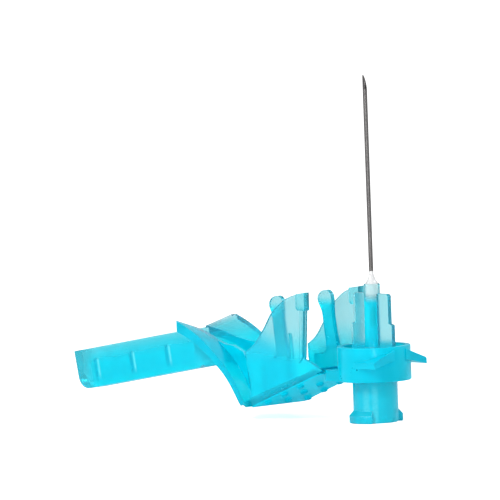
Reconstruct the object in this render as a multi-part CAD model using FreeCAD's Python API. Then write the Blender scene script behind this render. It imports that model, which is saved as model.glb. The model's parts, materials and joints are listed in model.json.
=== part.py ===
import FreeCAD, Part
import math
import os

# Safety hypodermic needle with a hinged shield.
# Millimetres. The origin is the centre of the luer mouth, +Z runs up the needle,
# and the open shield reaches out along -X. Both hinges turn about lines along Y.

os.makedirs("parts", exist_ok=True)
V = FreeCAD.Vector

# Needle hub
luer_mouth_dia = 4.30
luer_taper = 0.06
luer_depth = 7.6
barrel_dia = 6.5
barrel_top = 10.3
mouth_round = 0.2
lug_span = 7.83
lug_wall_height = 1.1
lug_slope_height = 0.75
lug_half_angle = 36.0
flange_height = 0.85
post_dia_top = 2.35
post_dia_foot = 2.5
post_top = 20.0
fin_thick = 0.7
fin_half_low = 4.1
fin_half_high = 3.5
fin_step_z = 14.1
fin_top_z = 18.6
side_rib_thick = 0.7

# Needle and glue
needle_dia = 0.64
needle_lumen = 0.36
needle_foot_z = 13.9
needle_tip_z = 50.15
bevel_angle = 14.0
well_dia = 1.5
well_floor_z = 16.6
well_cone_height = 0.8
glue_cone_height = 1.8

# Collar that snaps round the hub
ring_low = 6.06
ring_high = 11.1
ring_radius = 5.3
ring_wall = 0.75
ring_gap = 0.06
snap_z = 8.2
snap_size = 0.25
barb_x_low = 1.05
barb_x_high = 5.35
barb_tip_y = 5.35
barb_tip_z = 9.1
barb_slope = 21.0
barb_under_slope = 13.0
barb_thick = 0.9
lug_block_half_y = 4.4
lug_block_top = 7.7

# Hinge beside the collar and hinge at the knee
hinge_reach = 5.9
hinge_z = 7.4
hinge_half_y = 4.3
arm_length = 14.2
arm_drop = 5.45
knee_half_y = 6.5
film_thick = 0.5
roll_radius = 0.36
roll_gap = 0.05
relief_radius = 0.78

# Arm: sloping web with two side walls
web_thick = 0.95
web_half_knee = 6.6
web_half_mid = 6.15
web_half_hinge = 4.9
web_edge_rise = 0.85
web_edge_width = 1.0
wall_thick = 0.65
wall_inner_y = 5.5
wall_setback = 1.9
wall_height = 11.5
wall_flare = 2.35
wall_foot_back = 2.4
wall_foot_rise = 1.9
crest_gap = 2.55
crest_fall = 8.8
boss_length = 2.0
boss_height = 2.65
boss_inward = 0.5
bead_width = 0.65
bead_inward = 0.12
bead_outward = 0.2
tab_inner_y = 4.58
tab_thick = 0.72
tab_back = 8.4
tab_rise = 1.8
pedestal_length = 4.9
pedestal_overhang = 2.5
pedestal_rise = 1.5
rib_back = 5.3
rib_rise = 5.5
rib_lean = 0.7
bump_radius = 0.7
bump_top_radius = 0.42
bump_height = 0.38
bump_start = 2.4
bump_step = 3.53
bump_pitch_y = 4.04

# Finger pad and channel
pad_length = 15.1
pad_rise = 10.35
pad_half_y = 6.15
pad_thick = 1.12
pad_corner_radius = 0.6
channel_half_y = 1.55
channel_wall = 0.6
channel_floor = 0.9
channel_length = 24.2
channel_sink = 4.15
channel_end_depth = 5.55
channel_end_lean = 1.11
channel_end_wall = 1.0
corner_radius = 1.9
neck_back = 1.4
neck_drop = 5.56
mouth_half_y = 3.9
mouth_gap = 1.5
catch_rib_radius = 0.34
catch_rib_height = 3.2
catch_rib_first = 4.6
catch_rib_step = 7.25

# Places that follow from the lengths above
hinge_x = -hinge_reach
knee_x = hinge_x - arm_length
knee_z = hinge_z - arm_drop
wall_front_x = hinge_x - wall_setback
wall_top_z = hinge_z + wall_height
wall_foot_x = hinge_x - wall_foot_back
wall_foot_z = hinge_z + wall_foot_rise
crest_run = arm_length - crest_gap
tab_x = hinge_x - tab_back
tab_z = hinge_z + tab_rise
pedestal_left_x = tab_x - pedestal_overhang
pedestal_right_x = pedestal_left_x + pedestal_length
pedestal_top_z = hinge_z + pedestal_rise
ridge_x = knee_x - pad_length
ridge_z = knee_z + pad_rise
neck_x = ridge_x + neck_back
neck_z = ridge_z - neck_drop
mouth_x = knee_x - mouth_gap
channel_end_x = ridge_x - channel_length
channel_end_top_z = ridge_z - channel_sink
channel_foot_x = channel_end_x + channel_end_lean
channel_foot_z = channel_end_top_z - channel_end_depth


def box(x0, x1, y0, y1, z0, z1):
    return Part.makeBox(x1 - x0, y1 - y0, z1 - z0, V(x0, y0, z0))


def prism_y(points, y0, y1):
    corners = [V(x, y0, z) for x, z in points]
    face = Part.Face(Part.makePolygon(corners + corners[:1]))
    return face.extrude(V(0, y1 - y0, 0))


def prism_x(points, x0, x1):
    corners = [V(x0, y, z) for y, z in points]
    face = Part.Face(Part.makePolygon(corners + corners[:1]))
    return face.extrude(V(x1 - x0, 0, 0))


def prism_z(points, z0, z1):
    corners = [V(x, y, z0) for x, y in points]
    face = Part.Face(Part.makePolygon(corners + corners[:1]))
    return face.extrude(V(0, 0, z1 - z0))


def turned(points):
    corners = [V(r, 0, z) for r, z in points]
    face = Part.Face(Part.makePolygon(corners + corners[:1]))
    return face.revolve(V(0, 0, 0), V(0, 0, 1), 360)


def cylinder_y(x, z, radius, y0, y1):
    return Part.makeCylinder(radius, y1 - y0, V(x, y0, z), V(0, 1, 0))


def mirrored(shape):
    return shape.mirror(V(0, 0, 0), V(0, 1, 0))


def union(shapes):
    whole = shapes[0].multiFuse(shapes[1:])
    return whole.removeSplitter()


def save(node, shape):
    solids = shape.Solids
    if len(solids) != 1 or not solids[0].isValid():
        raise RuntimeError(node + " is not one valid solid: " + str(len(solids)))
    solids[0].exportStep("parts/" + node + ".step")


# Needle hub
barrel_r = barrel_dia / 2
socket_r = luer_mouth_dia / 2
socket_end_r = socket_r - luer_taper * luer_depth / 2
flange_r = ring_radius - ring_wall - ring_gap
hub_shell = turned([
    (0, 0), (barrel_r - mouth_round, 0), (barrel_r, mouth_round), (barrel_r, ring_low),
    (flange_r, ring_low), (flange_r, ring_low + flange_height),
    (barrel_r, ring_low + flange_height), (barrel_r, barrel_top - 0.35),
    (barrel_r - 0.35, barrel_top), (0, barrel_top),
])
lug_r = lug_span / 2
lug_ring = turned([
    (barrel_r - 0.4, 0), (lug_r - 0.12, 0), (lug_r, 0.12), (lug_r, lug_wall_height),
    (barrel_r, lug_wall_height + lug_slope_height),
    (barrel_r - 0.4, lug_wall_height + lug_slope_height),
])
half = math.radians(lug_half_angle)
reach = 8.0
lug_wedge = prism_z([
    (0, 0), (-reach * math.sin(half), reach * math.cos(half)),
    (reach * math.sin(half), reach * math.cos(half)),
], -1, 4)
lug = lug_ring.common(lug_wedge)
fin = prism_y([
    (-flange_r + 0.05, ring_low + 0.4), (flange_r - 0.05, ring_low + 0.4),
    (flange_r - 0.05, barrel_top - 0.2), (fin_half_low, barrel_top + 0.2),
    (fin_half_low, fin_step_z), (fin_half_high, fin_step_z + 0.25),
    (fin_half_high, fin_top_z - 0.3), (fin_half_high - 0.3, fin_top_z),
    (-fin_half_high + 0.3, fin_top_z), (-fin_half_high, fin_top_z - 0.3),
    (-fin_half_high, fin_step_z + 0.25), (-fin_half_low, fin_step_z),
    (-fin_half_low, barrel_top + 0.2), (-flange_r + 0.05, barrel_top - 0.2),
], -fin_thick / 2, fin_thick / 2)
side_rib = box(-side_rib_thick / 2, side_rib_thick / 2, -flange_r + 0.05, flange_r - 0.05,
               ring_low + 0.4, barrel_top - 0.3)
post = turned([
    (0, barrel_top - 0.5), (post_dia_foot / 2 + 0.45, barrel_top - 0.5),
    (post_dia_foot / 2 + 0.45, barrel_top), (post_dia_foot / 2, barrel_top + 0.6),
    (post_dia_top / 2, post_top - 0.1), (post_dia_top / 2 - 0.1, post_top), (0, post_top),
])
snap_ring = turned([
    (flange_r - 0.5, snap_z - 0.35), (flange_r, snap_z - 0.25),
    (flange_r + snap_size, snap_z - 0.1), (flange_r + snap_size, snap_z),
    (flange_r - 0.05, snap_z + 0.35), (flange_r - 0.5, snap_z + 0.45),
])
fin_zone = box(-6, 6, -fin_thick / 2, fin_thick / 2, ring_low, ring_high)
snap_tips = snap_ring.common(fin_zone)
hollow = turned([
    (0, -0.1), (socket_r + 0.003, -0.1), (socket_end_r, luer_depth),
    (0.55, luer_depth + 0.9), (0.4, needle_foot_z), (0, needle_foot_z),
])
seat = Part.makeCylinder(needle_dia / 2, 4, V(0, 0, needle_foot_z - 0.01))
well = turned([
    (0, well_floor_z), (needle_dia / 2, well_floor_z), (well_dia / 2, well_floor_z + well_cone_height),
    (well_dia / 2, post_top + 0.1), (0, post_top + 0.1),
])
hub = union([hub_shell, lug, mirrored(lug), fin, side_rib, post, snap_tips])
hub = hub.cut(hollow).cut(seat).cut(well)
save("needle_hub", hub)

# Needle with a bevelled tip
needle_r = needle_dia / 2
tube = Part.makeCylinder(needle_r, needle_tip_z - needle_foot_z, V(0, 0, needle_foot_z))
lumen = Part.makeCylinder(needle_lumen / 2, needle_tip_z - needle_foot_z + 2, V(0, 0, needle_foot_z - 1))
bevel_drop = needle_dia / math.tan(math.radians(bevel_angle))
bevel = prism_y([
    (needle_r, needle_tip_z - bevel_drop), (needle_r + 1, needle_tip_z - bevel_drop - 1),
    (needle_r + 1, needle_tip_z + 3), (-needle_r, needle_tip_z + 3), (-needle_r, needle_tip_z),
], -1, 1)
needle = tube.cut(lumen).cut(bevel)
save("needle_tube", needle)

# Glue: fills the well round the needle and ends in a small cone
glue = turned([
    (needle_r, well_floor_z), (well_dia / 2, well_floor_z + well_cone_height),
    (well_dia / 2, post_top), (post_dia_top / 2 - 0.12, post_top),
    (needle_r + 0.3, post_top + 0.75 * glue_cone_height / 1.8),
    (needle_r + 0.02, post_top + glue_cone_height), (needle_r, post_top + glue_cone_height),
])
save("needle_adhesive", glue)

# Collar
ring_inner = ring_radius - ring_wall
ring = turned([
    (ring_inner, ring_low), (ring_radius - 0.1, ring_low), (ring_radius, ring_low + 0.1),
    (ring_radius, ring_high - 0.1), (ring_radius - 0.1, ring_high), (ring_inner, ring_high),
])
slope = math.tan(math.radians(barb_slope))
under_slope = math.tan(math.radians(barb_under_slope))
barb_foot_y = 1.2
run = barb_tip_y - barb_foot_y
barb = prism_x([
    (barb_foot_y, barb_tip_z + run * slope), (barb_tip_y - 0.2, barb_tip_z + 0.2 * slope),
    (barb_tip_y, barb_tip_z - 0.12), (barb_tip_y, barb_tip_z - barb_thick),
    (barb_foot_y, barb_tip_z - barb_thick + run * under_slope),
], barb_x_low, barb_x_high)
ring_bore = Part.makeCylinder(ring_radius - 0.3, 20, V(0, 0, 0))
below_rim = box(-9, 9, -9, 9, ring_low, ring_high - 0.05)
barb = barb.cut(ring_bore).common(below_rim)
block = prism_y([
    (hinge_x + 0.2, ring_low), (-3.0, ring_low), (-3.0, lug_block_top),
    (hinge_x + 0.3, lug_block_top), (hinge_x + 0.2, hinge_z),
], -lug_block_half_y, lug_block_half_y)
block = block.cut(ring_bore).cut(cylinder_y(hinge_x, hinge_z, roll_radius, -7, 7))
block_side = prism_z([
    (hinge_x - 1, -lug_block_half_y), (hinge_x - 1, lug_block_half_y), (hinge_x + 0.9, lug_block_half_y),
    (-1.5, 4.9), (-1.5, -4.9), (hinge_x + 0.9, -lug_block_half_y),
], 0, 20)
block = block.common(block_side)
groove = turned([
    (ring_inner - 0.3, snap_z - 0.45), (ring_inner + 0.001, snap_z - 0.4),
    (ring_inner + snap_size, snap_z - 0.2), (ring_inner + snap_size, snap_z + 0.1),
    (ring_inner + 0.001, snap_z + 0.45), (ring_inner - 0.3, snap_z + 0.45),
])
collar = union([ring, barb, mirrored(barb), block]).cut(groove)
save("shield_collar", collar)

# Thin strap beside the collar
strap = cylinder_y(hinge_x, hinge_z, roll_radius, -hinge_half_y, hinge_half_y)
save("collar_hinge", strap)

# Arm
web_length = math.hypot(hinge_x - knee_x, hinge_z - knee_z)
web_slope = math.atan2(hinge_z - knee_z, hinge_x - knee_x)
along = (math.cos(web_slope), math.sin(web_slope))
across = (-math.sin(web_slope), math.cos(web_slope))


def on_web(s, h):
    # s runs along the web from the knee line, h rises square to it
    return (knee_x + s * along[0] + h * across[0], knee_z + s * along[1] + h * across[1])


under = -film_thick / 2
web_slab = prism_y([
    on_web(0.0, under), on_web(web_length, under),
    on_web(web_length, under + web_thick), on_web(0.0, under + web_thick),
], -8, 8)
web_plan = prism_z([
    (knee_x - 1, web_half_knee), (knee_x + 0.9, web_half_knee), (wall_front_x - 0.2, web_half_mid),
    (hinge_x - 0.5, web_half_mid), (hinge_x - 0.45, web_half_hinge), (hinge_x + 1, web_half_hinge),
    (hinge_x + 1, -web_half_hinge), (hinge_x - 0.45, -web_half_hinge), (hinge_x - 0.5, -web_half_mid),
    (wall_front_x - 0.2, -web_half_mid), (knee_x + 0.9, -web_half_knee), (knee_x - 1, -web_half_knee),
], -5, 15)
web = web_slab.common(web_plan)
hinge_clear = cylinder_y(hinge_x, hinge_z, roll_radius + roll_gap, -8, 8)
knee_clear = cylinder_y(knee_x, knee_z, roll_radius, -8, 8)
upper_half = prism_y([
    on_web(-3, film_thick / 2 - 0.05), on_web(web_length + 3, film_thick / 2 - 0.05),
    on_web(web_length + 3, 3), on_web(-3, 3),
], -8, 8)
knee_relief = cylinder_y(knee_x, knee_z, relief_radius, -8, 8).common(upper_half)
hinge_relief = cylinder_y(hinge_x, hinge_z, relief_radius, -8, 8).common(upper_half)
ends = prism_y([
    on_web(0.15, -1), on_web(web_length - 0.15, -1), on_web(web_length - 0.15, 2), on_web(0.15, 2),
], -8, 8)
web = web.common(ends).cut(hinge_clear).cut(knee_clear).cut(knee_relief).cut(hinge_relief)


def web_point(s, y, h):
    x, z = on_web(s, h)
    return V(x, y, z)


# Sloped lower corners along both edges of the web and the feet of the walls
flat_half = web_half_mid - 0.8
edge_cut = Part.makePolygon([
    web_point(-1, flat_half, under - 0.01),
    web_point(-1, flat_half + 3 * web_edge_width, under - 0.01),
    web_point(-1, flat_half + 3 * web_edge_width, under + 3 * web_edge_rise),
    web_point(-1, flat_half, under - 0.01),
])
cut_length = web_length + 3
edge_cut = Part.Face(edge_cut).extrude(V(along[0] * cut_length, -0.3, along[1] * cut_length))

# The crest falls from the front corner in shares of its run and of its fall
crest = [
    (0, 0), (0.20, 0.06), (0.33, 0.13), (0.46, 0.25), (0.56, 0.36), (0.62, 0.47), (0.68, 0.59),
    (0.74, 0.69), (0.81, 0.81), (0.88, 0.90), (0.94, 0.955), (1, 1),
]
curve = Part.BSplineCurve()
curve.interpolate([V(wall_front_x - u * crest_run, 0, wall_top_z - v * crest_fall) for u, v in crest])
crest_end_x = wall_front_x - crest_run
crest_end_z = wall_top_z - crest_fall
wall_outline = [
    (crest_end_x, crest_end_z), (crest_end_x + 0.05, crest_end_z - 1.9),
    (crest_end_x + 0.7, crest_end_z - 4.8), on_web(1.35, 0.55), on_web(1.35, 0.1),
    on_web(web_length - 1.0, 0.1), (hinge_x + 0.45, hinge_z - 0.05), (hinge_x + 0.6, hinge_z + 0.45),
    (hinge_x - 0.55, hinge_z + 1.2),
    (wall_foot_x, wall_foot_z), (wall_front_x, wall_top_z - boss_height), (wall_front_x, wall_top_z),
]
rest = Part.makePolygon([V(x, 0, z) for x, z in wall_outline])
wall_face = Part.Face(Part.Wire([curve.toShape()] + rest.Edges))
wall = wall_face.extrude(V(0, wall_thick, 0))
boss = prism_y([
    (wall_front_x - boss_length, wall_top_z - boss_height + 0.3),
    (wall_front_x - boss_length + 0.3, wall_top_z - boss_height),
    (wall_front_x - 0.02, wall_top_z - boss_height), (wall_front_x, wall_top_z - 0.03),
    (wall_front_x - boss_length, wall_top_z - 0.3),
], -boss_inward, 0.2)
bead = prism_y([
    (wall_foot_x, wall_foot_z + 0.1), (wall_front_x - 0.03, wall_top_z - boss_height + 0.1),
    (wall_front_x - 0.03 - bead_width, wall_top_z - boss_height + 0.1),
    (wall_foot_x - bead_width, wall_foot_z - 0.6),
], -bead_inward, wall_thick + bead_outward)
side = union([wall, boss, bead])
side.rotate(V(wall_front_x, 0, 0), V(0, 0, 1), -wall_flare)
side.translate(V(0, wall_inner_y, 0))

# Springy tab on a pedestal, standing just inside the wall
# Its outline is drawn from the left end of its foot
tab_left = [(0, 0), (0, 1.3), (-0.25, 3.1), (-0.45, 4.8), (-0.7, 6.05), (-1.15, 6.85)]
tab_head = [(-1.42, 7.7), (-1.0, 8.5), (-0.2, 8.9), (0.6, 8.9), (1.15, 8.45), (1.38, 7.7)]
tab_right = [(1.4, 7.1), (1.4, 5.8), (1.6, 4.15), (1.85, 2.6), (2.15, 1.3), (2.3, 0)]
tab_foot = [(2.3, 0), (2.35, -2.2), (0, -2.2), (0, 0)]


def tab_point(u, v):
    return V(tab_x + u, tab_inner_y, tab_z + v)


tab_curve = Part.BSplineCurve()
tab_curve.interpolate([tab_point(u, v) for u, v in tab_left + tab_head + tab_right])
tab_base = Part.makePolygon([tab_point(u, v) for u, v in tab_foot])
tab_plate = Part.Face(Part.Wire([tab_curve.toShape()] + tab_base.Edges)).extrude(V(0, tab_thick, 0))
ped_foot_s = (pedestal_left_x - knee_x) / along[0]
pedestal = prism_y([
    on_web(ped_foot_s, 0.1), (pedestal_left_x, pedestal_top_z - 0.3),
    (pedestal_left_x + 0.3, pedestal_top_z),
    (pedestal_left_x + 1.7, pedestal_top_z), (pedestal_left_x + 2.2, pedestal_top_z + 0.2),
    (pedestal_left_x + 2.5, pedestal_top_z + 0.7), (pedestal_right_x, pedestal_top_z + 0.7),
    on_web((pedestal_right_x - knee_x) / along[0], 0.1),
], tab_inner_y, 6.1)
wall_middle_y = wall_inner_y + 0.3
wall_spread = (wall_front_x - knee_x) * math.tan(math.radians(wall_flare))
wall_limit = prism_z([
    (wall_front_x, wall_middle_y), (wall_front_x, 0), (knee_x, 0), (knee_x, wall_middle_y + wall_spread),
], 0, 20)
tab = union([tab_plate, pedestal.common(wall_limit)])

rib_top_x = hinge_x - rib_back
rib_top_z = hinge_z + rib_rise
rib_foot_x = rib_top_x + rib_lean
rib_foot_s = (rib_foot_x - 0.4 - knee_x) / along[0]
wedge_rib = prism_y([
    (rib_top_x - 0.15, rib_top_z), (rib_top_x + 0.15, rib_top_z),
    on_web(rib_foot_s + 0.8, 0.3), on_web(rib_foot_s, 0.1),
], -wall_inner_y - 0.5, -wall_inner_y + 0.25)

# Grip bumps under the web, three rows of three
bumps = []
bump_way = V(-across[0], 0, -across[1])
for row in range(3):
    for col in (-1, 0, 1):
        foot = web_point(bump_start + row * bump_step, col * bump_pitch_y, under + 0.1)
        bump = Part.makeCone(bump_radius, bump_top_radius, bump_height + 0.1, foot, bump_way)
        bumps.append(bump)

arm = union([web, side, mirrored(side)])
arm = arm.cut(edge_cut).cut(mirrored(edge_cut))
arm = union([arm, tab, mirrored(tab), wedge_rib] + bumps)
save("shield_arm", arm)

# Thin strap at the knee
knee_strap = cylinder_y(knee_x, knee_z, roll_radius, -knee_half_y, knee_half_y)
save("knee_hinge", knee_strap)

# Finger pad: two wings swept from the knee to the tips, drawn in shares of its length and rise
root_line = [
    (0.034, 0.058), (0.083, 0.174), (0.232, 0.464), (0.424, 0.681), (0.642, 0.850), (0.815, 0.937),
    (1.0, 0.995),
]
rim_line = [
    (0.034, 0.058), (0.083, 0.174), (0.225, 0.473), (0.404, 0.715), (0.596, 0.928), (0.752, 1.053),
    (0.934, 1.164),
]


def on_pad(shares):
    return [(knee_x - u * pad_length, knee_z + v * pad_rise) for u, v in shares]


root_line = on_pad(root_line)
rim_line = on_pad(rim_line)
sections = []
for i in range(len(root_line)):
    a = root_line[max(i - 1, 0)]
    b = root_line[min(i + 1, len(root_line) - 1)]
    length = math.hypot(b[0] - a[0], b[1] - a[1])
    nx, nz = (b[1] - a[1]) / length, -(b[0] - a[0]) / length
    thick = pad_thick * (0.8 + 0.5 * i / (len(root_line) - 1))
    down = V(-nx * thick, 0, -nz * thick)
    if i == len(root_line) - 1:
        down = V(0.25, 0, -thick * 1.15)
    root = V(root_line[i][0], 0, root_line[i][1])
    edge = V(rim_line[i][0], pad_half_y, rim_line[i][1])
    wire = Part.makePolygon([root, edge, edge + down, root + down, root])
    sections.append(wire)
wing = Part.makeLoft(sections, True, False)
tip_x = rim_line[-1][0]
trim_y = pad_half_y - pad_corner_radius
corner_trim = box(tip_x - 2, tip_x + pad_corner_radius, trim_y, pad_half_y + 1, 9, 16)
rounded = Part.makeCylinder(pad_corner_radius, 9, V(tip_x + pad_corner_radius, trim_y, 8))
corner_trim = corner_trim.cut(rounded)
wing = wing.cut(corner_trim)

channel_outer = prism_y([
    (channel_end_x, channel_end_top_z), (ridge_x, ridge_z), (neck_x + 0.5, ridge_z - 0.45),
    (neck_x + 0.5, neck_z + 0.3), (neck_x, neck_z),
    (channel_foot_x, channel_foot_z),
], -channel_half_y, channel_half_y)
corner_edges = []
for edge in channel_outer.Edges:
    c = edge.CenterOfMass
    if edge.Length > 2 and abs(c.y) < 0.01 and c.x < channel_foot_x + 1 and c.z < channel_end_top_z - 1:
        corner_edges.append(edge)
channel_outer = channel_outer.makeFillet(corner_radius, corner_edges)
floor_slope = (neck_z - channel_foot_z) / (neck_x - channel_foot_x)
bore_half_y = channel_half_y - channel_wall
channel_inner = prism_y([
    (channel_end_x + channel_end_wall, 15), (channel_end_x + channel_end_wall + 0.5, 5.0),
    (channel_foot_x + channel_end_wall + 0.7, channel_foot_z + channel_floor + 0.3),
    (neck_x, neck_z + channel_floor), (neck_x + 0.6, neck_z + channel_floor + 0.1), (neck_x + 0.6, 15),
], -bore_half_y, bore_half_y)

# Between ridge and knee the channel walls spread apart
spread = (mouth_half_y - channel_half_y) / (mouth_x - ridge_x)


def trumpet(inset, x0, x1):
    y0 = channel_half_y - inset + (x0 - ridge_x) * spread
    y1 = channel_half_y - inset + (x1 - ridge_x) * spread
    return prism_z([(x0, y0), (x1, y1), (x1, -y1), (x0, -y0)], 0, 20)


trumpet_side = prism_y(on_pad([
    (1, 1), (0.80, 0.93), (0.61, 0.87), (0.46, 0.82), (0.35, 0.816), (0.185, 0.734), (0.146, 0.643),
    (0.106, 0.314), (0.096, 0.169), (0.219, 0.353), (0.364, 0.546), (0.49, 0.56), (0.62, 0.517),
    (0.74, 0.498), (0.81, 0.494), (0.854, 0.507),
]) + [(neck_x, neck_z), (ridge_x, neck_z - 0.2)], -5, 5)
trumpet_body = trumpet(0, ridge_x, mouth_x).common(trumpet_side)
trumpet_room = prism_y([
    (ridge_x - 0.05, 15), (ridge_x - 0.05, neck_z + channel_floor - 0.25),
    (neck_x, neck_z + channel_floor),
] + on_pad([
    (0.854, 0.585), (0.74, 0.585), (0.62, 0.604), (0.483, 0.643), (0.424, 0.678), (0.325, 0.585),
    (0.232, 0.461), (0.152, 0.324), (0.083, 0.174), (-0.007, 0.101), (-0.007, 1.26),
]), -5, 5)
trumpet_inner = trumpet(channel_wall, ridge_x - 0.06, knee_x + 0.1).common(trumpet_room)

pad = union([wing, mirrored(wing), channel_outer, trumpet_body])
pad = pad.cut(channel_inner).cut(trumpet_inner)

ribs = []
tilt = V(-floor_slope, 0, 1).normalize()
for number in range(3):
    rib_x = channel_end_x + catch_rib_first + number * catch_rib_step
    foot_z = channel_foot_z + (rib_x - channel_foot_x) * floor_slope + channel_floor - 0.3
    foot = V(rib_x, -bore_half_y, foot_z)
    rib = Part.makeCylinder(catch_rib_radius, catch_rib_height, foot, tilt)
    cap = Part.makeSphere(catch_rib_radius, foot + V(tilt).multiply(catch_rib_height))
    ribs.append(rib.fuse(cap))
pad = union([pad] + ribs)
keep_gap = cylinder_y(knee_x, knee_z, roll_radius + roll_gap, -8, 8)
pad = pad.cut(keep_gap)
save("shield_sheath", pad)
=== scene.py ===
# %% [markdown]
# # Safety hypodermic needle with a hinged shield
# The object is a steel needle glued into a clear cyan hub, and a second clear cyan moulding, the
# shield: a collar that snaps round the hub, a stiff arm with two side walls, and a finger pad with a
# long channel that folds up over the needle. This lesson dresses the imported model: it gives each
# piece its finish, rounds the moulded edges, adds the thin living hinges and lights a small studio.

# %% Frame
import json
import math
import bmesh
import bpy
from mathutils import Matrix, Vector


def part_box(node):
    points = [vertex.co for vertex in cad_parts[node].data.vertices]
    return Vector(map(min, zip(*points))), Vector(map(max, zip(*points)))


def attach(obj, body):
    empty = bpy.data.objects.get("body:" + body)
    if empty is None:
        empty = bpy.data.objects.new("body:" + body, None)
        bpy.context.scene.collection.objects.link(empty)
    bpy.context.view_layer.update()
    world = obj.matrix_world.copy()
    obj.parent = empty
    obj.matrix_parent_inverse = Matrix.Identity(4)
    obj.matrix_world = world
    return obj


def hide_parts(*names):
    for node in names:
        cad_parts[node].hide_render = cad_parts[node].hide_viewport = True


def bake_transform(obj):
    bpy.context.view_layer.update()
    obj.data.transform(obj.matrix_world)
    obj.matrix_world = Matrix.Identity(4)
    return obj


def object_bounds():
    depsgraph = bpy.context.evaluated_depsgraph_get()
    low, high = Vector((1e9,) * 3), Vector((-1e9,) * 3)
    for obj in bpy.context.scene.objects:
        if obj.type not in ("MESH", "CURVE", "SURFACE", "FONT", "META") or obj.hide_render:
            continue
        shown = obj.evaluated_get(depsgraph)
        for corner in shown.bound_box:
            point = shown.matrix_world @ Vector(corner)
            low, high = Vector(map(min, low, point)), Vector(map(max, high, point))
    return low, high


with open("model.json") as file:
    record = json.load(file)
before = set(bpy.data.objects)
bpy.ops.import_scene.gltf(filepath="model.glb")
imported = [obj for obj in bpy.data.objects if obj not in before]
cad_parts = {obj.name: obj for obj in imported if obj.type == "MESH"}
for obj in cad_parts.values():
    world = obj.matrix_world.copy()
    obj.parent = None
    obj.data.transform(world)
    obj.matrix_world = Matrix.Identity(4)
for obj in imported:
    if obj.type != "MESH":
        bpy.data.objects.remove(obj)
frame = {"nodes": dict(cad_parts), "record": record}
cad_low, cad_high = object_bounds()
MM = 0.001
print("model box in mm:", [round(v / MM, 2) for v in cad_low], [round(v / MM, 2) for v in cad_high])

scene = bpy.context.scene
joint_at = {j["name"]: Vector(j["pos_m"]) for j in frame["record"]["behaviour"]["joints"]}

# %% [markdown]
# ## Small helpers for nodes
# Every finish here is a tree of shader nodes. A few short helpers keep the trees readable: one adds a
# node with its values, one stretches a 0 to 1 value to another range, and one makes noise. Patterns
# read Object coordinates, which are metres in the frame of the model, so they sit still on a piece.

# %% Node helpers


def add(tree, kind, **inputs):
    node = tree.nodes.new(kind)
    for key, value in inputs.items():
        node.inputs[key.replace("_", " ")].default_value = value
    return node


def ramp(tree, source, low, high):
    node = add(tree, "ShaderNodeMapRange", To_Min=low, To_Max=high)
    tree.links.new(source, node.inputs["Value"])
    return node.outputs["Result"]


def noise(tree, where, scale, detail=3.0):
    node = add(tree, "ShaderNodeTexNoise", Scale=scale, Detail=detail)
    tree.links.new(where, node.inputs["Vector"])
    return node.outputs["Fac"]


def start_material(name):
    material = bpy.data.materials.new(name)
    material.use_nodes = True
    tree = material.node_tree
    tree.nodes.clear()
    out = tree.nodes.new("ShaderNodeOutputMaterial")
    where = tree.nodes.new("ShaderNodeTexCoord").outputs["Object"]
    return material, tree, out, where


# %% [markdown]
# ## Masks in millimetres
# A mask is a value from 0 to 1 that says where on a piece something happens. It could be painted by
# hand, but then it would not follow the piece. Here it is worked out: a dot product measures how far
# a point lies along a direction, and a soft step turns that distance into a mask.

# %% Mask helpers


def calculate(tree, operation, first, second=None):
    node = tree.nodes.new("ShaderNodeMath")
    node.operation = operation
    for socket, value in zip(node.inputs, (first, second)):
        if isinstance(value, float):
            socket.default_value = value
        elif value is not None:
            tree.links.new(value, socket)
    return node.outputs[0]


def product(tree, first, *others):
    for other in others:
        first = calculate(tree, "MULTIPLY", first, other)
    return first


def at_least(tree, value, mask, most, least=0.0):
    # the value, or where it is larger, what the mask moves from least to most
    return calculate(tree, "MAXIMUM", value, ramp(tree, mask, least, most))


def distance_along(tree, where, way):
    node = tree.nodes.new("ShaderNodeVectorMath")
    node.operation = "DOT_PRODUCT"
    node.inputs[1].default_value = way
    tree.links.new(where, node.inputs[0])
    return node.outputs["Value"]


def ease(tree, value, start, end):
    # 0 at start, 1 at end, with a soft change between them
    node = add(tree, "ShaderNodeMapRange", From_Min=start, From_Max=end)
    node.interpolation_type = "SMOOTHSTEP"
    tree.links.new(value, node.inputs["Value"])
    return node.outputs["Result"]


def fade(tree, value, start, end):
    # ease for a place on the object, with start and end in mm
    return ease(tree, value, start * MM, end * MM)


SOFT_RIM = 0.08


def within(tree, where, across, radius):
    # 1 nearer to the middle than the radius, measured only across the given axes
    flat = tree.nodes.new("ShaderNodeVectorMath")
    flat.operation = "MULTIPLY"
    flat.inputs[1].default_value = across
    tree.links.new(where, flat.inputs[0])
    size = tree.nodes.new("ShaderNodeVectorMath")
    size.operation = "LENGTH"
    tree.links.new(flat.outputs["Vector"], size.inputs[0])
    return fade(tree, size.outputs["Value"], radius, radius - SOFT_RIM)


UPWARDS = (0.0, 0.0, 1.0)
SIDEWAYS = (0.0, 1.0, 0.0)

# %% [markdown]
# ## Where the hub is deep, clear or pale, and its painted highlights
# The hub changes on its way up. The barrel and the foot of the post are thick and deep cyan, the fins
# are thin and pale, and the glue well in the top of the post is nearly clear between two cyan sides.
# Two soft pale lines on the front of the barrel are painted highlights. Heights are millimetres above the
# mouth of the socket, and pairs say where a change starts and where it ends.

# %% Painted barrel highlights
OUT_OF_BARREL_FACE = (0.707, -0.707, 0.0)
PAINTED_BARREL_HIGHLIGHTS = (
    {"middle": -0.1, "half_width": 0.65, "bottom": -0.5, "top": 6.0},
    {"middle": -1.35, "half_width": 0.7, "bottom": 1.7, "top": 5.6},
)
STREAK_CORE = 0.15
STREAK_TOP_FADES_OVER = 1.4
STREAK_BOTTOM_FADES_OVER = 0.3
BARREL_FRONT = (1.8, 2.4)
PATCH_SCALE = 2600.0
PATCH_RANGE = (0.1, 1.0)


# painted highlight: two soft pale lines on the front face of the barrel, broken into patches
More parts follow.
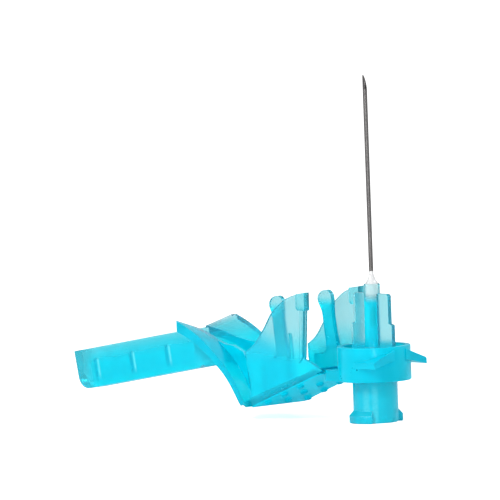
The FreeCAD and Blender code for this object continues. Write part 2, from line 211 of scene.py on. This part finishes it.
def painted_barrel_highlights(tree, where, across, height):
    front = fade(tree, distance_along(tree, where, OUT_OF_BARREL_FACE), *BARREL_FRONT)
    patches = ramp(tree, noise(tree, where, PATCH_SCALE), *PATCH_RANGE)
    both = 0.0
    for streak in PAINTED_BARREL_HIGHLIGHTS:
        away = calculate(tree, "ABSOLUTE", calculate(tree, "SUBTRACT", across, streak["middle"] * MM))
        bottom, top = streak["bottom"], streak["top"]
        line = product(tree, fade(tree, away, streak["half_width"], STREAK_CORE),
                       fade(tree, height, top, top - STREAK_TOP_FADES_OVER),
                       fade(tree, height, bottom, bottom + STREAK_BOTTOM_FADES_OVER))
        both = calculate(tree, "MAXIMUM", line, both)
    return product(tree, both, front, patches)


# %% Hub masks
ALONG_BARREL_FACE = (0.707, 0.707, 0.0)
POST_RADIUS = 1.35
POST_CLEARS = (17.2, 18.8)
POST_DEEPENS = (18.8, 17.2)
WELL_SIDE_ENDS = (1.02, 0.86)
FIN_FOOT_DEEPENS = (12.5, 10.0)
BARREL_LIGHTENS = (9.5, 7.0)
BARREL_SHARE = 0.85


def hub_masks(tree, where):
    height = distance_along(tree, where, UPWARDS)
    across = distance_along(tree, where, ALONG_BARREL_FACE)
    post = within(tree, where, (1, 1, 0), POST_RADIUS)
    middle = fade(tree, calculate(tree, "ABSOLUTE", across), *WELL_SIDE_ENDS)
    well = product(tree, post, middle, fade(tree, height, *POST_CLEARS))
    core = product(tree, post, fade(tree, height, *POST_DEEPENS))
    barrel = ramp(tree, fade(tree, height, *BARREL_LIGHTENS), 1.0, BARREL_SHARE)
    low_part = product(tree, fade(tree, height, *FIN_FOOT_DEEPENS), barrel)
    # the light mask carries the painted highlights on the barrel
    return {"deep": calculate(tree, "MAXIMUM", core, low_part), "clear": well,
            "light": painted_barrel_highlights(tree, where, across, height)}


print("the post turns from deep to clear between", *POST_CLEARS, "mm")

# %% [markdown]
# ## Where the collar and arm are deep, and the painted shade on the web's bumps
# The collar is deep cyan nearly all over. The arm is deep at its web and fades to pale thin walls, and the
# posts that stand inside the walls stay deep almost to their round heads. The underside of the web looks
# matt, and its small round bumps are painted darker, a painted shade.

# %% Collar and arm masks
COLLAR_DEEPENS = (20.0, 12.0)
ACROSS_WEB = (-0.358, 0.0, 0.934)
UNDER_WEB = 8.77
UNDERSIDE_STARTS = (UNDER_WEB + 0.25, UNDER_WEB + 0.1)
# where the bumps under the web get their painted shade
BUMPS_START = (UNDER_WEB - 0.05, UNDER_WEB - 0.2)
BUMP_SHADE_SHARE = 0.5
BETWEEN_WALLS = 5.42
POSTS_DEEPEN = (17.4, 15.8)
WALLS_DEEPEN = (14.5, 8.0)


def collar_masks(tree, where):
    return {"deep": fade(tree, distance_along(tree, where, UPWARDS), *COLLAR_DEEPENS)}


def arm_masks(tree, where):
    height = distance_along(tree, where, UPWARDS)
    posts = product(tree, within(tree, where, (0, 1, 0), BETWEEN_WALLS), fade(tree, height, *POSTS_DEEPEN))
    through_web = distance_along(tree, where, ACROSS_WEB)
    # the dark mask below paints shade onto the bumps under the web
    return {"deep": calculate(tree, "MAXIMUM", posts, fade(tree, height, *WALLS_DEEPEN)),
            "matt": fade(tree, through_web, *UNDERSIDE_STARTS),
            "dark": product(tree, fade(tree, through_web, *BUMPS_START), BUMP_SHADE_SHARE)}


print("the arm's walls turn deep between", *WALLS_DEEPEN, "mm")

# %% [markdown]
# ## Where the sheath is deep, and the painted shade and highlight at its catches
# The channel is deep cyan low down and paler along its open top, its end wall is pale, and the near wing is
# deep. Inside the near wall, slanted catches grip the closed needle. Over each one a dark line of painted
# shade is drawn, with a light line of painted highlight beside it. They repeat at an even step, so the
# place along the channel is divided by that step, and the part after the point says where in a step it is.

# %% Sheath masks
ALONG_CHANNEL = (0.986, 0.0, 0.167)
ACROSS_CHANNEL = (-0.169, 0.0, 1.0)
END_WALL = (-56.0, -53.4)
END_WALL_SHARE = 0.35
CHANNEL_DEEPENS = (19.2, 15.5)
NEAR_WING = (-2.7, -3.4)
NEAR_WALL = (-0.7, -0.9)
CATCH_TOP = (17.0, 16.2)
CATCH_FOOT = (13.2, 14.4)
CATCHES_START = (-36.0, -37.0)
CATCH_STEP = 7.353
# painted shade and painted highlight: a dark line and a light line beside each catch
CATCH_SHADE_AND_HIGHLIGHT = {
    "dark": {"middle": 0.74, "half_width": 0.065},
    "light": {"middle": 0.83, "half_width": 0.055},
}


def sheath_masks(tree, where):
    along = distance_along(tree, where, ALONG_CHANNEL)
    rise = distance_along(tree, where, ACROSS_CHANNEL)
    side = distance_along(tree, where, SIDEWAYS)
    end_wall = ramp(tree, fade(tree, along, *END_WALL), END_WALL_SHARE, 1.0)
    channel = product(tree, fade(tree, rise, *CHANNEL_DEEPENS), end_wall)
    masks = {"deep": calculate(tree, "MAXIMUM", channel, fade(tree, side, *NEAR_WING))}
    catches = product(tree, fade(tree, side, *NEAR_WALL), fade(tree, rise, *CATCH_TOP),
                      fade(tree, rise, *CATCH_FOOT), fade(tree, along, *CATCHES_START))
    step_part = calculate(tree, "FRACT", product(tree, along, 1 / (CATCH_STEP * MM)))
    # each catch gets a line of painted shade and a line of painted highlight
    for shade, line in CATCH_SHADE_AND_HIGHLIGHT.items():
        away = calculate(tree, "ABSOLUTE", calculate(tree, "SUBTRACT", step_part, line["middle"]))
        masks[shade] = product(tree, ease(tree, away, line["half_width"], 0.0), catches)
    return masks


print("the catches repeat every", CATCH_STEP, "mm")

# %% [markdown]
# ## Glinting edges
# A moulded edge is a narrow round that collects light from a wide angle. On the real part the edges
# that face up flash almost white, in broken lengths. The rounds made further down carry an attribute
# called edge, so the material knows them. A soft step on the normal keeps those that face up, and
# broad noise breaks them into lengths.

# %% Glints
FACES_UP = (0.25, 0.6)
GLINT_SCALE = 330.0
GLINT_BREAKS = (0.5, 0.62)


def glinting(tree, where, edge):
    normal = tree.nodes.new("ShaderNodeTexCoord").outputs["Normal"]
    upward = ease(tree, distance_along(tree, normal, UPWARDS), *FACES_UP)
    lengths = ease(tree, noise(tree, where, GLINT_SCALE), *GLINT_BREAKS)
    return product(tree, edge, upward, lengths)


# %% [markdown]
# ## Clear moulded plastic
# Real polypropylene parts are tinted through, so a thin wall is pale and a thick one is deep cyan.
# One flat see-through colour can't show that, and at this small size absorption alone shows too
# little of it. So three things work together: the surface refracts light, the inside absorbs red
# along each millimetre of the way, and a share of the surface scatters light as a fine frost. The
# frost makes layer on layer glow cyan instead of going dark, and the masks say how deep it is.

# %% Plastic colours
THIN_TINT = (0.85, 0.96, 0.99)
DEEP_TINT = (0.02, 0.96, 0.99)
CLEAR_TINT = (0.98, 1.0, 1.0)
THIN_FROST = (0.12, 0.62, 0.74)
DEEP_FROST = (0.0, 0.76, 0.96)
CLEAR_FROST = (0.80, 0.96, 0.98)
GLINT = (0.85, 0.98, 1.0)
# colours of painted shade (dark) and painted highlight (light)
PAINTED_SHADE_AND_HIGHLIGHT = {"dark": (0.0, 0.42, 0.60), "light": (0.16, 0.88, 1.0)}
CLEAR_SHARE = 0.35
MATT_SHARE = 0.8
PAINTED_SHADE_AND_HIGHLIGHT_SHARE = 0.5
GLINT_SHARE = 0.7
CLOUD_SCALE = 260.0
CLOUD_RANGE = (0.8, 1.2)


def two_colours(tree, share, first, second):
    # first and second are plain colours, or sockets that carry one
    blend = tree.nodes.new("ShaderNodeMix")
    blend.data_type = "RGBA"
    colours = [socket for socket in blend.inputs if socket.type == "RGBA"]
    for socket, value in zip(colours, (first, second)):
        if isinstance(value, tuple):
            socket.default_value = (*value, 1)
        else:
            tree.links.new(value, socket)
    tree.links.new(share, blend.inputs["Factor"])
    return next(socket for socket in blend.outputs if socket.type == "RGBA")


def colour_and_frost(tree, where, masks, edge, frost):
    # the tint of the clear part, the colour of the frost, and the frost's share of the surface
    # the rounds along the edges are painted deep cyan as well: painted shade for the dark outline that
    # light reflected inside an edge gives
    deep = calculate(tree, "MAXIMUM", masks["deep"], edge)
    clouds = ramp(tree, noise(tree, where, CLOUD_SCALE), *CLOUD_RANGE)
    share = product(tree, ramp(tree, deep, *frost), clouds)
    tint = two_colours(tree, deep, THIN_TINT, DEEP_TINT)
    milk = two_colours(tree, deep, THIN_FROST, DEEP_FROST)
    if "clear" in masks:
        tint = two_colours(tree, masks["clear"], tint, CLEAR_TINT)
        milk = two_colours(tree, masks["clear"], milk, CLEAR_FROST)
        share = at_least(tree, share, masks["clear"], CLEAR_SHARE)
    if "matt" in masks:
        share = at_least(tree, share, masks["matt"], MATT_SHARE)
    # mix in the painted shade and painted highlight where their masks say
    for shade, colour in PAINTED_SHADE_AND_HIGHLIGHT.items():
        if shade in masks:
            milk = two_colours(tree, masks[shade], milk, colour)
            share = at_least(tree, share, masks[shade], PAINTED_SHADE_AND_HIGHLIGHT_SHARE)
    glint = glinting(tree, where, edge)
    milk = two_colours(tree, glint, milk, GLINT)
    return tint, milk, at_least(tree, share, glint, GLINT_SHARE)


# %% [markdown]
# ## The plastic's surfaces
# Two surfaces are mixed: clear glass-like plastic, and frost that only scatters. The clear one mirrors
# with a cyan tint, because a colourless mirror of the white studio would wash the cyan out. Its thin
# coat is glossy along the edges and faint elsewhere. Fine noise changes the roughness and gives both
# surfaces the faint grain that a mould leaves.

# %% Plastic surfaces
PLASTIC_IOR = 1.49
MIRROR_TINT = (0.15, 0.6, 0.8, 1.0)
COAT_ROUGHNESS = 0.16
EDGE_GLOSS = 0.6
HAZE_ROUGHNESS = 0.4
ROUGH_SCALE = 900.0
ROUGH_RANGE = (0.8, 1.2)
GRAIN_SCALE = 4200.0
GRAIN_DETAIL = 2.0
GRAIN_DEPTH = 0.02 * MM
ABSORBING_COLOUR = (0.04, 0.90, 0.95, 1.0)
ABSORBING_DENSITY = 850.0


def clear_plastic(name, masks_of, frost, rough, grain, gloss):
    material, tree, out, where = start_material(name)
    attribute = tree.nodes.new("ShaderNodeAttribute")
    attribute.attribute_name = "edge"
    edge = attribute.outputs["Fac"]
    tint, milk, share = colour_and_frost(tree, where, masks_of(tree, where), edge, frost)
    clear = add(tree, "ShaderNodeBsdfPrincipled", IOR=PLASTIC_IOR, Transmission_Weight=1.0,
                Specular_Tint=MIRROR_TINT, Coat_Roughness=COAT_ROUGHNESS)
    haze = add(tree, "ShaderNodeBsdfPrincipled", IOR=PLASTIC_IOR, Roughness=HAZE_ROUGHNESS,
               Specular_IOR_Level=0.0)
    roughness = ramp(tree, noise(tree, where, ROUGH_SCALE), *(rough * part for part in ROUGH_RANGE))
    bump = add(tree, "ShaderNodeBump", Strength=grain, Distance=GRAIN_DEPTH)
    mix = tree.nodes.new("ShaderNodeMixShader")
    inside = add(tree, "ShaderNodeVolumeAbsorption", Color=ABSORBING_COLOUR, Density=ABSORBING_DENSITY)
    link = tree.links.new
    link(tint, clear.inputs["Base Color"])
    link(milk, haze.inputs["Base Color"])
    link(roughness, clear.inputs["Roughness"])
    link(ramp(tree, edge, gloss, EDGE_GLOSS), clear.inputs["Coat Weight"])
    link(noise(tree, where, GRAIN_SCALE, GRAIN_DETAIL), bump.inputs["Height"])
    link(bump.outputs["Normal"], clear.inputs["Normal"])
    link(bump.outputs["Normal"], haze.inputs["Normal"])
    link(share, mix.inputs["Fac"])
    link(clear.outputs["BSDF"], mix.inputs[1])
    link(haze.outputs["BSDF"], mix.inputs[2])
    link(mix.outputs["Shader"], out.inputs["Surface"])
    link(inside.outputs["Volume"], out.inputs["Volume"])
    print(name, "has", len(tree.nodes), "nodes")
    return material


# %% The four plastics
hub_plastic = clear_plastic("hub_plastic", hub_masks, frost=(0.10, 0.42), rough=0.25, grain=0.3, gloss=0.2)
collar_plastic = clear_plastic("collar_plastic", collar_masks, frost=(0.42, 0.42), rough=0.3, grain=0.4,
                               gloss=0.12)
arm_plastic = clear_plastic("arm_plastic", arm_masks, frost=(0.10, 0.35), rough=0.25, grain=0.4, gloss=0.05)
sheath_plastic = clear_plastic("sheath_plastic", sheath_masks, frost=(0.12, 0.36), rough=0.2, grain=0.4,
                               gloss=0.05)

# %% [markdown]
# ## Drawn steel
# The needle is drawn tube: long fine lines run up it. Ordinary noise would give spots, so a Mapping
# node squeezes the height before the noise reads it, which stretches each spot into a line. The lines
# change the colour, the roughness and a slight bump together, as real scratches do.

# %% Steel
LINE_STRETCH = 0.02
LINE_SCALE = 16000.0
LINE_DETAIL = 4.0
LINE_BUMP = 0.4
LINE_DEPTH = 0.01 * MM
STEEL_ROUGH = (0.22, 0.38)
STEEL_DARK = (0.05, 0.05, 0.05, 1)
STEEL_LIGHT = (0.22, 0.21, 0.21, 1)


def drawn_steel(name):
    material, tree, out, where = start_material(name)
    shade = add(tree, "ShaderNodeBsdfPrincipled", Metallic=1.0)
    mapping = add(tree, "ShaderNodeMapping", Scale=(1.0, 1.0, LINE_STRETCH))
    tree.links.new(where, mapping.inputs["Vector"])
    lines = noise(tree, mapping.outputs["Vector"], LINE_SCALE, LINE_DETAIL)
    colour = tree.nodes.new("ShaderNodeValToRGB")
    colour.color_ramp.elements[0].color = STEEL_DARK
    colour.color_ramp.elements[1].color = STEEL_LIGHT
    bump = add(tree, "ShaderNodeBump", Strength=LINE_BUMP, Distance=LINE_DEPTH)
    tree.links.new(lines, colour.inputs["Fac"])
    tree.links.new(colour.outputs["Color"], shade.inputs["Base Color"])
    tree.links.new(ramp(tree, lines, *STEEL_ROUGH), shade.inputs["Roughness"])
    tree.links.new(lines, bump.inputs["Height"])
    tree.links.new(bump.outputs["Normal"], shade.inputs["Normal"])
    tree.links.new(shade.outputs["BSDF"], out.inputs["Surface"])
    return material


needle_steel = drawn_steel("needle_steel")
needle = frame["nodes"]["needle_tube"]
needle.data.materials.clear()
needle.data.materials.append(needle_steel)
print("the needle keeps its own shape and wears", needle_steel.name)

# %% [markdown]
# ## Clear glue
# The glue is a clear epoxy, almost colourless. Fully clear it would vanish against the white studio,
# and fully white it would look like paint. Half of it lets light through and half scatters it, so it
# shows as a whitish bead round the foot of the needle.

# %% Glue material
GLUE_COLOUR = (0.97, 0.98, 0.99, 1)
GLUE_IOR = 1.5
GLUE_CLEARNESS = 0.5
GLUE_SCALE = 2500.0
GLUE_ROUGH = (0.08, 0.2)


def clear_glue(name):
    material, tree, out, where = start_material(name)
    shade = add(tree, "ShaderNodeBsdfPrincipled", Base_Color=GLUE_COLOUR, IOR=GLUE_IOR,
                Transmission_Weight=GLUE_CLEARNESS)
    tree.links.new(ramp(tree, noise(tree, where, GLUE_SCALE), *GLUE_ROUGH), shade.inputs["Roughness"])
    tree.links.new(shade.outputs["BSDF"], out.inputs["Surface"])
    return material


clear_epoxy = clear_glue("clear_epoxy")
print(clear_epoxy.name, "has", len(clear_epoxy.node_tree.nodes), "nodes")

# %% [markdown]
# ## Rounded mouldings
# No moulded edge is knife sharp: the small rounds along the edges catch the light as thin bright
# lines. They could be cut in the CAD model, but hundreds of tiny faces would slow every check there.
# Here each plastic piece is copied from the model, its loose triangles are joined into flat faces, and
# a narrow bevel runs along every sharp edge. The bevel writes its faces to a second material slot,
# which is how they are found and marked with the edge attribute. Then the copy stands for the plain
# piece.

# %% Moulding steps
SAME_POINT = 0.002 * MM
SAME_FACE = math.radians(0.6)
SHARP_EDGE = math.radians(35)
ROUND_WIDTH = 0.06 * MM
ROUND_SEGMENTS = 2
ROUND_SLOT = 1
FLAT_FACES_LEAD = 100


def joined_copy(node):
    mesh = frame["nodes"][node].data.copy()
    form = bmesh.new()
    form.from_mesh(mesh)
    bmesh.ops.remove_doubles(form, verts=form.verts, dist=SAME_POINT)
    bmesh.ops.dissolve_limit(form, angle_limit=SAME_FACE, verts=form.verts, edges=form.edges)
    form.to_mesh(mesh)
    form.free()
    mesh.shade_smooth()
    return mesh


def finished_mesh(piece):
    # the mesh as the modifiers leave it
    shown = piece.evaluated_get(bpy.context.evaluated_depsgraph_get())
    return bpy.data.meshes.new_from_object(shown)


def rounded(piece):
    bevel = piece.modifiers.new("edge", "BEVEL")
    bevel.width = ROUND_WIDTH
    bevel.segments = ROUND_SEGMENTS
    bevel.limit_method = "ANGLE"
    bevel.angle_limit = SHARP_EDGE
    bevel.use_clamp_overlap = True
    bevel.material = ROUND_SLOT
    flat_faces = piece.modifiers.new("flat_faces", "WEIGHTED_NORMAL")
    flat_faces.mode = "FACE_AREA"
    flat_faces.weight = FLAT_FACES_LEAD
    return finished_mesh(piece)


def mark_rounds(mesh, material):
    on_round = [float(face.material_index) for face in mesh.polygons]
    mesh.attributes.new("edge", "FLOAT", "FACE").data.foreach_set("value", on_round)
    mesh.polygons.foreach_set("material_index", [0] * len(on_round))
    mesh.materials.clear()
    mesh.materials.append(material)


# %% Mouldings


def moulded(node, body, material):
    mesh = joined_copy(node)
    mesh.materials.clear()
    mesh.materials.append(material)
    mesh.materials.append(material)
    piece = bpy.data.objects.new(node + "_moulding", mesh)
    scene.collection.objects.link(piece)
    mesh_with_rounds = rounded(piece)
    piece.modifiers.clear()
    piece.data = mesh_with_rounds
    mark_rounds(mesh_with_rounds, material)
    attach(piece, body)
    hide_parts(node)
    print(node, "has", len(mesh_with_rounds.polygons), "faces")


moulded("needle_hub", "hub", hub_plastic)
moulded("shield_collar", "hub", collar_plastic)
moulded("shield_arm", "arm", arm_plastic)
moulded("shield_sheath", "sheath", sheath_plastic)

# %% [markdown]
# ## Glue bead
# The epoxy fills the well in the post and climbs the needle in a hollow curve, a meniscus, because
# it wets the steel. It is a turned shape: a profile of radius against height, spun round the needle.
# The curve falls away from the needle as a power of the height, so one number sets how hollow it is.
# The profile keeps a hair's breadth away from the well and the needle, so that both surfaces show.

# %% Glue bead
POST_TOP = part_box("needle_hub")[1].z
WELL_CONE_RISE = 0.85 * MM
NEEDLE_SIDE = 0.326 * MM
WELL_SIDE = 0.73 * MM
BRIM = 0.97 * MM
HAIR = 0.01 * MM
CLIMB_STEPS = 12
CLIMB_HOLLOW = 2.2
BEAD_SEGMENTS = 48
BEAD_SHARP = math.radians(40)


def glue_profile():
    foot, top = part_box("needle_adhesive")
    profile = [(NEEDLE_SIDE, foot.z + 5 * HAIR), (WELL_SIDE, foot.z + WELL_CONE_RISE),
               (WELL_SIDE, POST_TOP + HAIR)]
    brim_height = POST_TOP + 2 * HAIR
    for step in range(CLIMB_STEPS + 1):
        climb = step / CLIMB_STEPS
        radius = NEEDLE_SIDE + (BRIM - NEEDLE_SIDE) * (1 - climb) ** CLIMB_HOLLOW
        profile.append((radius, brim_height + climb * (top.z - brim_height)))
    return profile


def turned(name, profile, segments, material):
    form = bmesh.new()
    angles = [2 * math.pi * n / segments for n in range(segments)]
    rings = [[form.verts.new((radius * math.cos(a), radius * math.sin(a), height)) for a in angles]
             for radius, height in profile]
    for lower, upper in zip(rings, rings[1:] + rings[:1]):
        for n in range(segments):
            m = (n + 1) % segments
            form.faces.new((lower[n], lower[m], upper[m], upper[n]))
    bmesh.ops.recalc_face_normals(form, faces=form.faces)
    mesh = bpy.data.meshes.new(name)
    form.to_mesh(mesh)
    form.free()
    mesh.materials.append(material)
    mesh.shade_smooth()
    mesh.set_sharp_from_angle(angle=BEAD_SHARP)
    piece = bpy.data.objects.new(name, mesh)
    scene.collection.objects.link(piece)
    return piece


glue = turned("glue_bead", glue_profile(), BEAD_SEGMENTS, clear_epoxy)
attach(glue, "hub")
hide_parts("needle_adhesive")
print(glue.name, "has", len(glue.data.polygons), "faces, on a post", round(POST_TOP / MM, 3), "mm high")

# %% [markdown]
# ## Living hinges
# The shield is one moulding: at the collar and at the knee the plastic thins to a film that bends.
# Each film is a short curve swept across the width of the hinge, made by a small node tree with its own
# named sizes. It runs from one of the two bodies that it joins into the other.

# %% Film tree
FILM_STEPS = 12


def film_tree(material):
    tree = bpy.data.node_groups.new("hinge_film", "GeometryNodeTree")
    face = tree.interface
    for label in ("Start", "Middle", "End"):
        face.new_socket(label, in_out="INPUT", socket_type="NodeSocketVector")
    for label in ("Width", "Thickness"):
        face.new_socket(label, in_out="INPUT", socket_type="NodeSocketFloat")
    face.new_socket("Geometry", in_out="OUTPUT", socket_type="NodeSocketGeometry")
    given = tree.nodes.new("NodeGroupInput")
    result = tree.nodes.new("NodeGroupOutput")
    path = add(tree, "GeometryNodeCurveQuadraticBezier", Resolution=FILM_STEPS)
    section = tree.nodes.new("GeometryNodeCurvePrimitiveQuadrilateral")
    sweep = add(tree, "GeometryNodeCurveToMesh", Fill_Caps=True)
    realize = tree.nodes.new("GeometryNodeRealizeInstances")
    paint = add(tree, "GeometryNodeSetMaterial", Material=material)
    link = tree.links.new
    for label in ("Start", "Middle", "End"):
        link(given.outputs[label], path.inputs[label])
    link(given.outputs["Width"], section.inputs["Width"])
    link(given.outputs["Thickness"], section.inputs["Height"])
    link(path.outputs["Curve"], sweep.inputs["Curve"])
    link(section.outputs["Curve"], sweep.inputs["Profile Curve"])
    link(sweep.outputs["Mesh"], realize.inputs["Geometry"])
    link(realize.outputs["Geometry"], paint.inputs["Geometry"])
    link(paint.outputs["Geometry"], result.inputs["Geometry"])
    return tree


# %% Hinge films


def hinge_film(name, node, tree, points, thickness):
    node_low, node_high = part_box(node)
    piece = bpy.data.objects.new(name, bpy.data.meshes.new(name))
    scene.collection.objects.link(piece)
    maker = piece.modifiers.new("film", "NODES")
    maker.node_group = tree
    values = dict(zip(("Start", "Middle", "End"), points))
    values.update({"Width": node_high.y - node_low.y, "Thickness": thickness})
    for item in tree.interface.items_tree:
        if item.in_out == "INPUT":
            maker[item.identifier] = values[item.name]
    piece.data = finished_mesh(piece)
    piece.modifiers.clear()
    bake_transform(piece)
    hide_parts(node)
    for axis, letter in enumerate("xyz"):
        places = [corner.co[axis] / MM for corner in piece.data.vertices]
        print(name, "along", letter, "from", round(min(places), 2), "to", round(max(places), 2), "mm")


FILM_THICKNESS = 0.3 * MM
collar_axis = joint_at["collar_fold"]
knee_axis = joint_at["knee_fold"]
web_way = (collar_axis - knee_axis).normalized()
pad_way = Vector((-0.52, 0.0, 0.85)).normalized()
INTO_WEB_AT_COLLAR = 0.62 * MM
INTO_COLLAR = 0.5 * MM
INTO_WEB_AT_KNEE = 0.5 * MM
INTO_PAD = 0.75 * MM
collar_points = (collar_axis - web_way * INTO_WEB_AT_COLLAR, collar_axis,
                 collar_axis + Vector((INTO_COLLAR, 0, 0)))
knee_points = (knee_axis + web_way * INTO_WEB_AT_KNEE, knee_axis, knee_axis + pad_way * INTO_PAD)
shared_film_tree = film_tree(arm_plastic)
hinge_film("collar_film", "collar_hinge", shared_film_tree, collar_points, FILM_THICKNESS)
hinge_film("knee_film", "knee_hinge", shared_film_tree, knee_points, FILM_THICKNESS)

# %% [markdown]
# ## White studio
# The photograph is a cut-out on plain white under soft light. More light on the floor would make it
# white, but would bleach the object too. Instead the floor and the world look at what kind of ray
# meets them. Seen by the camera they are plain white. Seen through or in the plastic they are a
# little darker, and for the rays that only light the object they are as strong as the object needs.
# The floor is also a plain diffuse surface, so it keeps the object's shadow.

# %% Floor and world
FLOOR_RADIUS = 1.6
FLOOR_SEGMENTS = 96
FLOOR_PAINT = (0.75, 0.75, 0.75, 1)
WHITE = (1, 1, 1, 1)
FLOOR_GLOW = {"as_light": 0.15, "through": 0.0, "seen": 0.65}
WORLD_GLOW = {"as_light": 0.72, "through": 0.70, "seen": 1.0}


def glow_by_ray(tree, as_light, through, seen):
    path = tree.nodes.new("ShaderNodeLightPath")
    strength = ramp(tree, path.outputs["Is Camera Ray"], as_light, seen)
    for ray in ("Is Glossy Ray", "Is Transmission Ray"):
        strength = at_least(tree, strength, path.outputs[ray], through, as_light)
    return strength


def white_floor():
    form = bmesh.new()
    bmesh.ops.create_circle(form, cap_ends=True, radius=FLOOR_RADIUS, segments=FLOOR_SEGMENTS)
    mesh = bpy.data.meshes.new("floor")
    form.to_mesh(mesh)
    form.free()
    floor = bpy.data.objects.new("floor", mesh)
    scene.collection.objects.link(floor)
    floor.location.z = cad_low.z
    material, tree, out, _ = start_material("floor_white")
    paint = add(tree, "ShaderNodeBsdfDiffuse", Color=FLOOR_PAINT)
    glow = add(tree, "ShaderNodeEmission", Color=WHITE)
    both = tree.nodes.new("ShaderNodeAddShader")
    tree.links.new(glow_by_ray(tree, **FLOOR_GLOW), glow.inputs["Strength"])
    tree.links.new(paint.outputs["BSDF"], both.inputs[0])
    tree.links.new(glow.outputs["Emission"], both.inputs[1])
    tree.links.new(both.outputs["Shader"], out.inputs["Surface"])
    mesh.materials.append(material)


def white_world():
    world = bpy.data.worlds.new("studio")
    scene.world = world
    world.use_nodes = True
    sky = world.node_tree.nodes["Background"]
    sky.inputs["Color"].default_value = WHITE
    world.node_tree.links.new(glow_by_ray(world.node_tree, **WORLD_GLOW), sky.inputs["Strength"])


white_floor()
white_world()
print("floor and world are seen at", FLOOR_GLOW["seen"], "and", WORLD_GLOW["seen"])

# %% [markdown]
# ## Lamps
# The world gives nearly all of the light. Four small rectangles only add the glints: a key lamp above
# and in front, two tall strips low at the sides that draw long lines on the round barrel and needle,
# and a rim lamp behind. All of them aim at the middle of the object.

# %% Lamps


def lamp(name, place, width, height, power):
    data = bpy.data.lights.new(name, "AREA")
    data.shape = "RECTANGLE"
    data.size = width
    data.size_y = height
    data.energy = power
    lamp_object = bpy.data.objects.new(name, data)
    scene.collection.objects.link(lamp_object)
    lamp_object.location = place
    aim = (cad_low + cad_high) / 2 - Vector(place)
    lamp_object.rotation_mode = "QUATERNION"
    lamp_object.rotation_quaternion = aim.to_track_quat("-Z", "Y")
    print(name, "stands", round(aim.length, 2), "m from the object")


lamp("key_lamp", place=(0.05, -0.45, 0.36), width=0.05, height=0.05, power=1.7)
lamp("front_strip", place=(0.34, -0.36, 0.09), width=0.02, height=0.17, power=0.5)
lamp("side_strip", place=(0.02, -0.46, 0.09), width=0.02, height=0.17, power=0.35)
lamp("rim_lamp", place=(0.20, 0.30, 0.30), width=0.05, height=0.05, power=0.5)

# %% [markdown]
# ## Camera
# The photograph was taken from the front right, a little above, from far away, so parallel
# projection fits it. The picture leans two degrees. Its middle lies up and to the left of the mouth
# of the socket. Light crosses many clear layers before it reaches the camera, so a ray may bounce
# and pass through far more often than the defaults allow, or deep corners would turn black.

# %% Camera
AZIMUTH = math.radians(45.0)
ELEVATION = math.radians(5.0)
LEAN = math.radians(2.0)
FRAME_WIDTH = 71.94 * MM
MIDDLE_LEFT = 18.19 * MM
MIDDLE_UP = 24.73 * MM
STAND_BACK = 0.6
MOST_BOUNCES = 48


def photo_camera():
    back = Vector((math.sin(AZIMUTH) * math.cos(ELEVATION), -math.cos(AZIMUTH) * math.cos(ELEVATION),
                   math.sin(ELEVATION)))
    level_right = Vector((math.cos(AZIMUTH), math.sin(AZIMUTH), 0.0))
    level_up = back.cross(level_right)
    right = level_right * math.cos(LEAN) - level_up * math.sin(LEAN)
    up = level_right * math.sin(LEAN) + level_up * math.cos(LEAN)
    data = bpy.data.cameras.new("camera")
    data.type = "ORTHO"
    data.ortho_scale = FRAME_WIDTH
    camera = bpy.data.objects.new("camera", data)
    scene.collection.objects.link(camera)
    turn = Matrix((right, up, back)).transposed().to_4x4()
    turn.translation = -MIDDLE_LEFT * right + MIDDLE_UP * up + back * STAND_BACK
    camera.matrix_world = turn
    scene.camera = camera
    print("the camera sees", round(data.ortho_scale / MM, 2), "mm across")


photo_camera()
scene.view_settings.view_transform = "Standard"
scene.cycles.max_bounces = MOST_BOUNCES
scene.cycles.transmission_bounces = MOST_BOUNCES
scene.cycles.use_denoising = True
